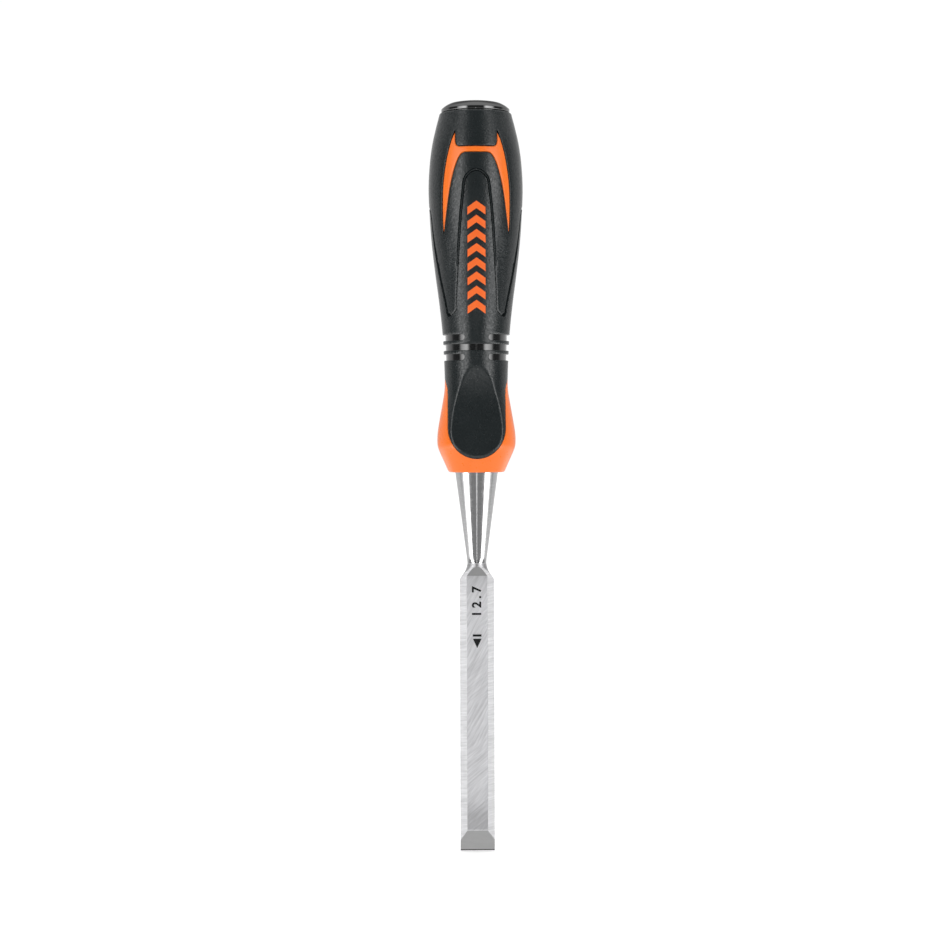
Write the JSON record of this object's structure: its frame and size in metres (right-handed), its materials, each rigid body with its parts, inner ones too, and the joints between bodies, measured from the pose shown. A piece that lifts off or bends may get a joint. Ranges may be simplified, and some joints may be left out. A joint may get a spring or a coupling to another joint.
{
  "type": "bench chisel",
  "caption": "Half-inch bevel-edge bench chisel with a tanged steel blade, an orange and black moulded handle with thumb rests, and a steel strike cap.",
  "frame": {"origin": "on the handle's axis at the height of the cutting edge, bottom centre of the bounding box", "axes": "+Z along the tool's axis towards the strike cap; the ground bevel faces -Y and the flat back faces +Y; +X runs across the blade"},
  "size_m": [0.0348, 0.0348, 0.2778],
  "materials": {
    "blade_steel": "ground blade, polished neck",
    "core_black": "glossy moulded hard plastic",
    "hard_orange": "semi-gloss moulded hard plastic",
    "soft_black": "fine-textured soft overmould",
    "cap_black": "gloss black coating on steel"
  },
  "bodies": {
    "root": {"blade": "blade_steel", "core": "core_black", "collar": "hard_orange", "inlay_front": "hard_orange", "inlay_back": "hard_orange", "palm_grip": "soft_black", "thumb_grip": "soft_black", "strike_cap": "cap_black"}
  },
  "joints": []
}
